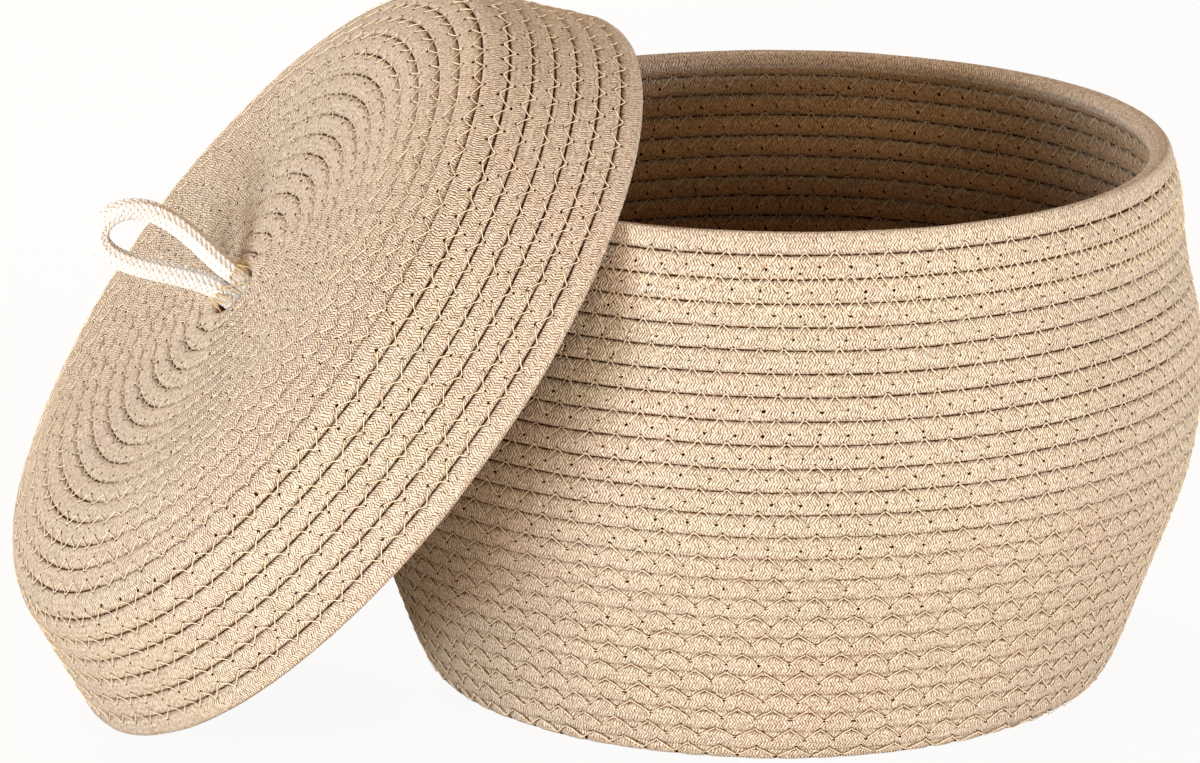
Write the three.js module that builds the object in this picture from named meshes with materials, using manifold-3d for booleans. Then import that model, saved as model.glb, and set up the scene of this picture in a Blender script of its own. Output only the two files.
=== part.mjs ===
// Lidded storage basket of coiled cotton rope, with the lid off and leaning on it.
// Millimetres, +Z up. The basket stands on the origin and the viewer looks along +Y.
import * as THREE from "three";
import { mergeVertices } from "three/addons/utils/BufferGeometryUtils.js";
import Module from "manifold-3d";

const wasm = await Module();
wasm.setup();

// Rope of the basket and the lid
const ropeDiameter = 10;
const seamThickness = 5.6; // wall left between two rows, where the thread draws them in
const segmentsPerTurn = 28;
const stepsPerRow = 20; // of the line that the rows follow
const endTaperTurns = 0.12; // the rope's cut end thins out over this part of a turn
const endTaperSize = 0.35;
const fitGap = 0.3; // left between pieces that touch

// Basket: the rows follow a line in the radial plane, from the axis out and up.
// Each section swings the line evenly to a lean from the horizontal, over so many rows.
const basketTurns = 38;
const basketEndAzimuth = 187;
const basketLine = {
  startHeight: ropeDiameter / 2,
  outerSide: 1,
  sections: {
    base: { rows: 14, lean: 0 },
    foot: { rows: 0.8, lean: 62 },
    heel: { rows: 1.9, lean: 69.5 },
    flare: { rows: 6.3, lean: 70.5 },
    belly: { rows: 9, lean: 104 },
    neck: { rows: 3.3, lean: 94 },
    rim: { rows: 4.5, lean: 118 },
  },
};

// Lid: the same from its centre out and down, the centre line ending at the open edge.
const lidTurns = 22;
const lidEndAzimuth = 180;
const lidLine = {
  startHeight: 0,
  outerSide: -1,
  sections: {
    dish: { rows: 9.5, lean: 4 },
    crown: { rows: 2.4, lean: 0 },
    brow: { rows: 1.6, lean: -20 },
    slope: { rows: 1.8, lean: -19 },
    shoulder: { rows: 1.5, lean: -68 },
    skirt: { rows: 6, lean: -68 },
  },
};

// Where the lid leans: its axis tips away from the basket, and its edge stands on the floor.
// It is pushed in towards the basket's axis until it rests on the rim.
const lidTilt = 51.9;
const lidHeading = 196.2;
const lidSide = 197.1;

// Carrying loop of white cord, and the knot that holds it under the lid
const cordDiameter = 9;
const feetSpacing = 9.8;
const loopReach = 57;
const loopWidth = 20; // added to the feet's spacing where the loop is widest
const loopSag = 10; // the top of the loop hangs this far down the slope of the leaning lid
const loopSagBend = 1.5; // above 1 the feet stay upright and the sag gathers at the top
const loopSides = 8;
const loopRings = 30;
const knotWraps = 2;
const knotWrapRadius = 10.5;
const knotSides = 16;
const wrapHalfAngle = 72; // each wrap of the knot bulges through this angle up and down
const wrapFacets = 4;
const tailLength = 9;

const cottonTan = 0xd0b898;
const cottonCream = 0xf1ebe0;

// The line of the rows as a lookup by the length of rope rows already laid.
function traceLine({ startHeight, outerSide, sections }) {
  const step = ropeDiameter / stepsPerRow;
  const points = [{ radius: 0, height: startHeight, lean: 0 }];
  let leanBefore = 0;
  for (const { rows, lean } of Object.values(sections)) {
    const steps = Math.round(rows * stepsPerRow);
    for (let i = 1; i <= steps; i++) {
      const last = points.at(-1);
      const middle = leanBefore + ((lean - leanBefore) * (i - 0.5)) / steps;
      const along = THREE.MathUtils.degToRad(middle);
      points.push({
        radius: last.radius + Math.cos(along) * step,
        height: last.height + Math.sin(along) * step,
        lean: leanBefore + ((lean - leanBefore) * i) / steps,
      });
    }
    leanBefore = lean;
  }
  return function pointAt(length, offset) {
    const place = length / step;
    const from = points[Math.min(Math.floor(place), points.length - 2)];
    const to = points[Math.min(Math.floor(place) + 1, points.length - 1)];
    const mix = (name) => THREE.MathUtils.lerp(from[name], to[name], place % 1);
    const lean = THREE.MathUtils.degToRad(mix("lean"));
    return {
      radius: Math.max(0, mix("radius") + outerSide * offset * Math.sin(lean)),
      height: mix("height") - outerSide * offset * Math.cos(lean),
    };
  };
}

// One rope wound in a spiral along the line and sewn row to row, as one closed body.
// Its two faces have a ridge on each row and a groove at each seam, one turn apart.
function coilRope({ line, turns, endAzimuth, winding, flatLength = 0 }) {
  const pointAt = traceLine(line);
  const positions = [];
  const triangles = [];
  const last = turns * segmentsPerTurn;

  function addVertex(index, length, offset) {
    const turn = (index - last) / segmentsPerTurn;
    const azimuth = THREE.MathUtils.degToRad(endAzimuth) + winding * turn * 2 * Math.PI;
    const { radius, height } = pointAt(length, offset);
    positions.push(radius * Math.cos(azimuth), radius * Math.sin(azimuth), height);
    return positions.length / 3 - 1;
  }

  function addFace(corners, side) {
    const facing = side * winding * line.outerSide;
    const ordered = facing > 0 ? corners : [...corners].reverse();
    for (let i = 2; i < ordered.length; i++) {
      triangles.push(ordered[0], ordered[i - 1], ordered[i]);
    }
  }

  function addSide(side) {
    const seamOffset = (length) =>
      side * (side > 0 && length < flatLength ? ropeDiameter : seamThickness) * 0.5;
    const centre = addVertex(0, 0, seamOffset(0));
    const ridge = [];
    const groove = [];
    const start = [centre];
    for (let i = 0; i <= last; i++) {
      const turn = i / segmentsPerTurn;
      const before = turn * ropeDiameter;
      const intoTaper = THREE.MathUtils.smoothstep(turn, turns - endTaperTurns, turns);
      const size = THREE.MathUtils.lerp(1, endTaperSize, intoTaper);
      ridge.push(addVertex(i, before + size * ropeDiameter * 0.5, side * size * ropeDiameter * 0.5));
      groove.push(addVertex(i, before + size * ropeDiameter, seamOffset(before) * size));
      if (i > 0 && i < segmentsPerTurn) start.push(addVertex(i, before, seamOffset(before)));
    }
    start.push(groove[0]);
    const below = (i) => (i < segmentsPerTurn ? start[i] : groove[i - segmentsPerTurn]);
    for (let i = 0; i < last; i++) {
      addFace([below(i), below(i + 1), ridge[i + 1], ridge[i]], side);
      addFace([ridge[i], ridge[i + 1], groove[i + 1], groove[i]], side);
    }
    for (let i = 1; i < segmentsPerTurn; i++) {
      addFace([centre, start[i + 1], start[i]], side);
    }
    addFace([centre, ridge[0], groove[0]], side);
    return { ridge, groove };
  }

  const outer = addSide(1);
  const inner = addSide(-1);
  const rimStart = last - segmentsPerTurn;
  for (let i = rimStart; i < last; i++) {
    addFace([outer.groove[i], outer.groove[i + 1], inner.groove[i + 1], inner.groove[i]], 1);
  }
  addFace(
    [
      outer.groove[rimStart],
      outer.ridge[last],
      outer.groove[last],
      inner.groove[last],
      inner.ridge[last],
      inner.groove[rimStart],
    ],
    -1,
  );
  return new wasm.Manifold(
    new wasm.Mesh({
      numProp: 3,
      vertProperties: new Float32Array(positions),
      triVerts: new Uint32Array(triangles),
    }),
  ).simplify();
}

function solidOf(geometry) {
  const plain = new THREE.BufferGeometry();
  plain.setAttribute("position", geometry.getAttribute("position"));
  if (geometry.index) plain.setIndex(geometry.index);
  const merged = mergeVertices(plain);
  return new wasm.Manifold(
    new wasm.Mesh({
      numProp: 3,
      vertProperties: merged.attributes.position.array,
      triVerts: new Uint32Array(merged.index.array),
    }),
  );
}

function geometryOf(solid) {
  const { vertProperties, triVerts } = solid.getMesh();
  const geometry = new THREE.BufferGeometry();
  geometry.setAttribute("position", new THREE.BufferAttribute(vertProperties, 3));
  geometry.setIndex(new THREE.BufferAttribute(triVerts, 1));
  return geometry;
}

// How far out along a level direction a piece has to go to clear another by the gap.
function seatDistance(piece, direction, other, gap) {
  let clear = 2 * ropeDiameter * (basketTurns + lidTurns); // past both coils laid flat
  let tooNear = 0;
  while (clear - tooNear > gap / 100) {
    const middle = (clear + tooNear) / 2;
    const moved = piece.translate(direction.x * middle, direction.y * middle, 0);
    if (other.minGap(moved, 2 * gap) < gap) tooNear = middle;
    else clear = middle;
  }
  return clear;
}

function meshOf(name, solid, color) {
  const material = new THREE.MeshStandardMaterial({ color, roughness: 0.95, metalness: 0 });
  const mesh = new THREE.Mesh(geometryOf(solid), material);
  mesh.name = name;
  return mesh;
}

// The loop's centre line, a teardrop from foot to foot that hangs over to one side.
function loopCurve(footHeight) {
  const bulge = (turn) => Math.sin(turn) * Math.sin(turn / 2) ** 2;
  const widest = bulge((2 * Math.PI) / 3);
  const points = [];
  for (let i = 0; i <= loopRings; i++) {
    const turn = (i / loopRings) * 2 * Math.PI;
    const reach = (1 - Math.cos(turn)) / 2;
    const across = (loopWidth / 2) * (bulge(turn) / widest);
    const feet = (feetSpacing / 2) * Math.cos(turn / 2);
    const sag = loopSag * reach ** loopSagBend;
    points.push(new THREE.Vector3(0, across + feet - sag, footHeight + loopReach * reach));
  }
  return new THREE.CatmullRomCurve3(points);
}

function cordAlong(curve, rings) {
  const section = new THREE.Shape();
  for (let i = 0; i < loopSides; i++) {
    const angle = (i / loopSides) * 2 * Math.PI;
    const corner = [Math.cos(angle), Math.sin(angle)].map((part) => part * cordDiameter * 0.5);
    if (i === 0) section.moveTo(...corner);
    else section.lineTo(...corner);
  }
  return solidOf(new THREE.ExtrudeGeometry(section, { extrudePath: curve, steps: rings }));
}

// An upright cylinder between two heights, centred beside the lid's axis.
function legAt(across, from, to, radius) {
  return wasm.Manifold.cylinder(to - from, radius, radius, knotSides).translate(0, across, from);
}

function bothFeet(build) {
  return [feetSpacing / 2, -feetSpacing / 2].map(build);
}

const basket = coilRope({
  line: basketLine,
  turns: basketTurns,
  endAzimuth: basketEndAzimuth,
  winding: -1,
  flatLength: basketLine.sections.base.rows * ropeDiameter,
});

const lidShell = coilRope({
  line: lidLine,
  turns: lidTurns,
  endAzimuth: lidEndAzimuth,
  winding: 1,
});

// The cord goes down through one slot in the lid's middle and is knotted on itself below.
const lidTop = ropeDiameter / 2;
const lidUnderside = -ropeDiameter / 2;
const cordRadius = cordDiameter / 2;
const knotTop = lidUnderside - fitGap;
const knotBottom = knotTop - knotWraps * cordDiameter;
const slot = wasm.Manifold.hull(
  bothFeet((across) => legAt(across, -ropeDiameter, ropeDiameter, cordRadius + fitGap)),
);
const lid = lidShell.subtract(slot);

const footHeight = lidTop + fitGap + cordRadius;
const footBalls = bothFeet((across) =>
  wasm.Manifold.sphere(cordRadius, loopSides).translate(0, across, footHeight),
);
const loop = wasm.Manifold.union([cordAlong(loopCurve(footHeight), loopRings), ...footBalls]);

const knotOutline = [new THREE.Vector2(0, knotBottom)];
for (let wrap = 0; wrap < knotWraps; wrap++) {
  const middle = knotBottom + (wrap + 0.5) * cordDiameter;
  for (let i = 0; i <= wrapFacets; i++) {
    const turn = THREE.MathUtils.lerp(-wrapHalfAngle, wrapHalfAngle, i / wrapFacets);
    const angle = THREE.MathUtils.degToRad(turn);
    knotOutline.push(
      new THREE.Vector2(
        knotWrapRadius + cordRadius * Math.cos(angle),
        middle + cordRadius * Math.sin(angle),
      ),
    );
  }
}
knotOutline.push(new THREE.Vector2(0, knotTop));
const knotBarrel = solidOf(new THREE.LatheGeometry(knotOutline, knotSides).rotateX(Math.PI / 2));
const legs = bothFeet((across) => legAt(across, knotBottom - tailLength, lidTop, cordRadius));
const knot = wasm.Manifold.union([knotBarrel, ...legs]);

// The lid's own frame has +Z out of its top and +Y up its slope.
const lidGroup = new THREE.Group();
lidGroup.name = "lid";
lidGroup.add(
  meshOf("lid_coil", lid, cottonTan),
  meshOf("handle_loop", loop, cottonCream),
  meshOf("handle_knot", knot, cottonCream),
);
lidGroup.rotateZ(THREE.MathUtils.degToRad(lidHeading + 90));
lidGroup.rotateX(THREE.MathUtils.degToRad(lidTilt));
const edgeHeight = traceLine(lidLine)((lidTurns - 0.5) * ropeDiameter, 0).height;
lidGroup.position.set(0, 0, -edgeHeight).applyQuaternion(lidGroup.quaternion);
lidGroup.updateMatrixWorld(true);
const lowest = new THREE.Box3().setFromObject(lidGroup, true).min.z;
lidGroup.position.z -= lowest;
lidGroup.updateMatrix();
const towardsLid = new THREE.Vector3(1, 0, 0).applyAxisAngle(
  new THREE.Vector3(0, 0, 1),
  THREE.MathUtils.degToRad(lidSide),
);
const standingLid = lid.transform(lidGroup.matrix.elements);
const lidDistance = seatDistance(standingLid, towardsLid, basket, fitGap);
lidGroup.position.addScaledVector(towardsLid, lidDistance);

const root = new THREE.Group();
root.name = "lidded_rope_basket";
root.add(meshOf("basket_coil", basket, cottonTan), lidGroup);

export default root;
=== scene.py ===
import math

import bpy
import numpy as np
from mathutils import Matrix, Vector


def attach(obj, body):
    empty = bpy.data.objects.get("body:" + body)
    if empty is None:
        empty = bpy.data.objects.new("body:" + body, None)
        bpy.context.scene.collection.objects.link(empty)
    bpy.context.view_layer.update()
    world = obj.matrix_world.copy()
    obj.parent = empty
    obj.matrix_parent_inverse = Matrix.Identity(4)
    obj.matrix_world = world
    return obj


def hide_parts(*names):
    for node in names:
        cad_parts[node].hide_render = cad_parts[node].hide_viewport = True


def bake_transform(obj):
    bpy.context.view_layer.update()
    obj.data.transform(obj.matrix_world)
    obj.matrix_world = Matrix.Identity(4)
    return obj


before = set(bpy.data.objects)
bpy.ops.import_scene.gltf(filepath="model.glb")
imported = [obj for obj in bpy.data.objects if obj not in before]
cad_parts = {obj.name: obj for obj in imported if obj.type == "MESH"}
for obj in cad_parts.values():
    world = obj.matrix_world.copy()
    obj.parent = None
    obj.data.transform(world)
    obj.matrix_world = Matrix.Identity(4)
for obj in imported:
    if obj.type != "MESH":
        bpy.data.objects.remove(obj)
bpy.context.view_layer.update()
print("frame loaded:", sorted(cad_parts))


# Helpers

def hexColor(text):  # an sRGB hex value, as linear red, green, blue and alpha
    channels = [int(text[i:i + 2], 16) / 255 for i in (1, 3, 5)]
    linear = [c / 12.92 if c <= 0.04045 else ((c + 0.055) / 1.055) ** 2.4 for c in channels]
    return (*linear, 1.0)


def addNode(tree, kind, inputs=None, **settings):
    node = tree.nodes.new(kind)
    for name, value in settings.items():
        setattr(node, name, value)
    for key, value in (inputs or {}).items():
        socket = node.inputs[key]
        if isinstance(value, bpy.types.Node):
            value = value.outputs[0]
        if isinstance(value, bpy.types.NodeSocket):
            tree.links.new(value, socket)
        else:
            socket.default_value = value
    return node


def namedFact(tree, name, kind="FLOAT"):
    return addNode(tree, "GeometryNodeInputNamedAttribute", {"Name": name}, data_type=kind)


def addMath(tree, operation, *values):
    return addNode(tree, "ShaderNodeMath", dict(enumerate(values)), operation=operation)


def addScaled(tree, vector, scale):
    return addNode(tree, "ShaderNodeVectorMath", {0: vector, "Scale": scale}, operation="SCALE")


def addSum(tree, first, second):
    return addNode(tree, "ShaderNodeVectorMath", {0: first, 1: second}, operation="ADD")


def addNoise(tree, place, scale, detail):
    return addNode(tree, "ShaderNodeTexNoise",
                   {"Vector": place, "Scale": scale, "Detail": detail}).outputs["Fac"]


def addMix(tree, share, first, second):  # the first colour where the share is 0, the second where it is 1
    return addNode(tree, "ShaderNodeMix", {0: share, 6: first, 7: second}, data_type="RGBA").outputs[2]


def addFade(tree, value, near, far, top=1.0, kind="LINEAR"):  # the top value up to near, 0 from far on
    return addNode(tree, "ShaderNodeMapRange",
                   {"Value": value, "From Min": near, "From Max": far, "To Min": top, "To Max": 0.0},
                   interpolation_type=kind)


def addTube(tree, curve, sides, radius):
    profile = addNode(tree, "GeometryNodeCurvePrimitiveCircle", {"Resolution": sides, "Radius": radius})
    return addNode(tree, "GeometryNodeCurveToMesh",
                   {"Curve": curve, "Profile Curve": profile, "Fill Caps": True})


def newTree(name, inputs):  # a geometry tree with named inputs: (name, socket type, default)
    tree = bpy.data.node_groups.new(name, "GeometryNodeTree")
    tree.interface.new_socket("Geometry", in_out="INPUT", socket_type="NodeSocketGeometry")
    tree.interface.new_socket("Geometry", in_out="OUTPUT", socket_type="NodeSocketGeometry")
    for label, kind, default in inputs:
        socket = tree.interface.new_socket(label, in_out="INPUT", socket_type=kind)
        if default is not None:
            socket.default_value = default
    return tree, tree.nodes.new("NodeGroupInput")


def finishTree(tree, source, geometry):  # smooth all over, but for the end caps
    corners = addNode(tree, "GeometryNodeInputMeshFaceNeighbors")
    side = addNode(tree, "FunctionNodeCompare", {2: corners, 3: 4}, data_type="INT", operation="EQUAL")
    shaded = addNode(tree, "GeometryNodeSetShadeSmooth", {"Geometry": geometry, "Selection": side})
    real = addNode(tree, "GeometryNodeRealizeInstances", {"Geometry": shaded})
    done = addNode(tree, "GeometryNodeSetMaterial",
                   {"Geometry": real, "Material": source.outputs["Material"]})
    addNode(tree, "NodeGroupOutput", {"Geometry": done})
    return tree


def bakePiece(name, path, tree, values):
    carrier = bpy.data.objects.new(name + "Path", path)
    bpy.context.scene.collection.objects.link(carrier)
    modifier = carrier.modifiers.new("build", "NODES")
    modifier.node_group = tree
    for item in tree.interface.items_tree:
        if item.in_out == "INPUT" and item.name in values:
            modifier[item.identifier] = values[item.name]
    depsgraph = bpy.context.evaluated_depsgraph_get()
    mesh = bpy.data.meshes.new_from_object(
        carrier.evaluated_get(depsgraph), preserve_all_data_layers=True, depsgraph=depsgraph)
    bpy.data.objects.remove(carrier)
    mesh.name = name
    piece = bpy.data.objects.new(name, mesh)
    bpy.context.scene.collection.objects.link(piece)
    return piece


def pathMesh(name, points, facts, breaks=()):  # a line of points; facts are its named values
    mesh = bpy.data.meshes.new(name)
    edges = [(i, i + 1) for i in range(len(points) - 1) if i + 1 not in breaks]
    mesh.from_pydata([tuple(p) for p in points], edges, [])
    for label, values in facts.items():
        values = np.asarray(values, np.float32)
        kind, key = ("FLOAT_VECTOR", "vector") if values.ndim == 2 else ("FLOAT", "value")
        layer = mesh.attributes.new(label, kind, "POINT")
        layer.data.foreach_set(key, values.ravel())
    return mesh


def triangleCount(piece):
    return sum(len(p.vertices) - 2 for p in piece.data.polygons)


# The sewing's pattern, the same for the threads and for the rope under them

def addArch(tree, phase, power):  # 1 at a hole in the row before the seam, 0 midway to the next
    half = addMath(tree, "PINGPONG", phase, 0.5)
    return addMath(tree, "POWER", addMath(tree, "MULTIPLY_ADD", half, -2.0, 1.0), power)


def addRise(tree, phase):  # 1 at a hole in the row after the seam, 0 midway to the next
    half = addMath(tree, "PINGPONG", phase, 0.5)
    return addMath(tree, "POWER", addMath(tree, "MULTIPLY", half, 2.0), 3.0)


def addHoleDistance(tree, side, stitch, reach, across, halfWidth, stitchLength):
    phase = addMath(tree, "ADD", stitch, 0.5 if side == "Above" else 0.0)
    centred = addMath(tree, "SUBTRACT", addMath(tree, "FRACT", phase), 0.5)
    alongHole = addMath(tree, "MULTIPLY", centred, stitchLength)
    fromSeam = addMath(tree, "SUBTRACT" if side == "Above" else "ADD", halfWidth, across)
    acrossHole = addMath(tree, "SUBTRACT", fromSeam, reach)
    flat = addNode(tree, "ShaderNodeCombineXYZ", {0: alongHole, 1: acrossHole})
    return addNode(tree, "ShaderNodeVectorMath", {0: flat}, operation="LENGTH").outputs["Value"]


# The coils: the same rows as the CAD source, in metres

rope = {
    "pitch": 0.010, "stepsPerRow": 20, "taperSize": 0.35, "startTaperTurns": 0.4, "endTaperTurns": 0.12,
    "lastSquareness": 3.8,  # the last row is rounder: nothing presses on its free side
}

basketCoil = {
    "turns": 38, "endAzimuth": 187, "winding": -1, "startHeight": 0.005, "outerSide": 1,
    "firstTurn": 0.0,
    "sections": [(14, 0), (0.8, 62), (1.9, 69.5), (6.3, 70.5), (9, 104), (3.3, 94), (4.5, 118)],
    "place": Matrix.Identity(4),
    "stitchChange": (20, 31),  # in turns: where the low rows' sewing ends and the high rows' begins
    "stitchLength": (0.0142, 0.0112), "reachOld": (0.0038, 0.0050), "reachNew": (0.0022, 0.0016),
    "archDepth": (0.0008, 0.0001), "secondDip": (0.0001, 0.0005), "archPower": (1.9, 1.25),
    "squareness": 7.0, "holeDepth": 0.0006,
}

lidStand = {"heading": 196.2, "tilt": 51.9, "centre": (-0.229143, -0.069741, 0.185234)}

lidCoil = {
    "turns": 22, "endAzimuth": 180, "winding": 1, "startHeight": 0.0, "outerSide": -1,
    "firstTurn": 0.5,
    "sections": [(9.5, 4), (2.4, 0), (1.6, -20), (1.8, -19), (1.5, -68), (6, -68)],
    "place": (Matrix.Translation(lidStand["centre"])
              @ Matrix.Rotation(math.radians(lidStand["heading"] + 90), 4, "Z")
              @ Matrix.Rotation(math.radians(lidStand["tilt"]), 4, "X")),
    "stitchChange": (8, 16),
    "stitchLength": (0.0130, 0.0135), "reachOld": (0.0026, 0.0032), "reachNew": (0.0022, 0.0022),
    "archDepth": (0.0001, 0.0002), "secondDip": (0.0002, 0.0002), "archPower": (1.4, 1.3),
    "squareness": 6.5, "holeDepth": 0.0002,
}


def traceLine(coil):  # radius, height and lean of the rows' line, a step apart
    step = rope["pitch"] / rope["stepsPerRow"]
    points = [(0.0, coil["startHeight"], 0.0)]
    leanBefore = 0.0
    for rows, lean in coil["sections"]:
        steps = round(rows * rope["stepsPerRow"])
        for i in range(1, steps + 1):
            along = math.radians(leanBefore + (lean - leanBefore) * (i - 0.5) / steps)
            radius, height, _ = points[-1]
            points.append((radius + math.cos(along) * step, height + math.sin(along) * step,
                           math.radians(leanBefore + (lean - leanBefore) * i / steps)))
        leanBefore = lean
    return step, np.array(points)


def azimuthAt(coil, turns):
    return np.radians(coil["endAzimuth"]) + coil["winding"] * (turns - coil["turns"]) * 2 * math.pi


def placeOnCoil(coil, turns, lengths):
    # centre, outward normal, direction towards the next row, radius, and bend across the rows
    step, line = traceLine(coil)
    at = np.arange(len(line)) * step
    radius, height, lean = (np.interp(lengths, at, line[:, k]) for k in range(3))
    bend = coil["outerSide"] * np.interp(lengths, at, np.gradient(line[:, 2], step))
    azimuth = azimuthAt(coil, turns)
    out = np.stack([np.cos(azimuth), np.sin(azimuth), np.zeros_like(azimuth)], 1)
    up = np.array([0.0, 0.0, 1.0])
    centre = out * radius[:, None] + up * height[:, None]
    normal = coil["outerSide"] * (out * np.sin(lean)[:, None] - up * np.cos(lean)[:, None])
    direction = out * np.cos(lean)[:, None] + up * np.sin(lean)[:, None]
    turned = np.array(coil["place"].to_3x3())
    return (centre @ turned.T + np.array(coil["place"].translation), normal @ turned.T,
            direction @ turned.T, radius, bend)


def slowNoise(values, seed):  # smooth, between about -1 and 1, and the same each run
    return (np.sin(values * 0.83 + seed) + np.sin(values * 0.37 + 2.1 * seed)
            + np.sin(values * 1.61 + 3.7 * seed)) / 2.2


stitchSpread = {"old": 0.0007, "new": 0.0006, "drift": 0.0005, "length": 0.13}  # how uneven the sewing is


def blendByTurn(coil, pair, turns):  # a value of the low rows, passing into one of the high rows
    low, high = coil["stitchChange"]
    share = np.clip((turns - low) / (high - low), 0, 1)
    return pair[0] + (pair[1] - pair[0]) * share


def seamPhases(coil):  # stitches sewn so far, by turn of the seam
    turns = np.linspace(0, coil["turns"] - 1, 6000)
    radius = placeOnCoil(coil, turns, (turns + 1) * rope["pitch"])[3]
    per = 2 * math.pi * np.maximum(radius, 0.004) / blendByTurn(coil, coil["stitchLength"], turns)
    phases = np.concatenate([[0], np.cumsum((per[1:] + per[:-1]) / 2 * np.diff(turns))])
    return turns, phases + stitchSpread["length"] * slowNoise(phases, 0.7)


def reaches(coil, turns, phases):  # from the seam into the row before it (old) and the row after it (new)
    drift = stitchSpread["drift"] * slowNoise(turns * 1.9, 5.3)
    old = blendByTurn(coil, coil["reachOld"], turns) + drift
    new = blendByTurn(coil, coil["reachNew"], turns) - drift
    return (old + stitchSpread["old"] * slowNoise(phases, 4.2),
            new + stitchSpread["new"] * slowNoise(phases, 9.1))


# Materials

def newMaterial(name, looks):
    material = bpy.data.materials.new(name)
    material.use_nodes = True
    tree = material.node_tree
    shader = tree.nodes["Principled BSDF"]
    for label, value in looks.items():
        shader.inputs[label].default_value = value
    return material, tree, shader


sheath = {
    # the three dark browns here are painted shade: in the gaps between strands and beside the thread (mixed
    # with the fibre grain), where two rows touch, and in the needle holes
    "color": "#f7ebda", "gapShadeAndGrainColor": "#785532", "holeShadeColor": "#2a1405", "seamShadowColor": "#70492a",
    "warmTint": "#f8e9d9", "coolTint": "#f5ebd8", "insideShadeColor": "#ebcba8",
    "strandLength": 0.00130,  # one strand's repeat along the rope
    "columnWidth": 0.0024,  # of one column of chevrons
    "slope": 0.80,  # how far a strand leans across its column, in repeats
    "bump": 0.00060, "fuzz": 0.00035, "holeRadius": 0.00092, "creaseWidth": 0.00036,
    "dentWidth": 0.0012, "dentDepth": 0.0005,  # where the thread bites into the rope
    "seamWidth": 0.00022, "halfWidth": 0.00501, "stitchLength": 0.0125,
    "sway": 0.6, "swayScale": 160.0, "shake": 1.3, "shakeScale": 380.0,  # of the columns, of the strands
    "patchScale": 22.0, "patchRange": (0.36, 0.64), "speckScale": 520.0, "raggedScale": 700.0,
    "raggedness": 0.0012, "seamUneven": (0.0015, 0.00072),  # of a hole's edge, of the seam's shadow
    "creaseShade": (700.0, 0.12),  # for each metre that the rope sinks, and everywhere
    "gapShade": (0.9, 1.13), "gapRange": (0.1, 0.98),  # uneven part and full shade, over the strands' height
    "fibreScale": 800.0, "grain": 0.40, "grainRange": (0.34, 0.62), "specular": 0.2, "sheen": 0.12,
    "insideFrom": -0.0022, "insideTo": -0.0048,  # outward places: the inner side is painted browner, as shade
}


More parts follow.
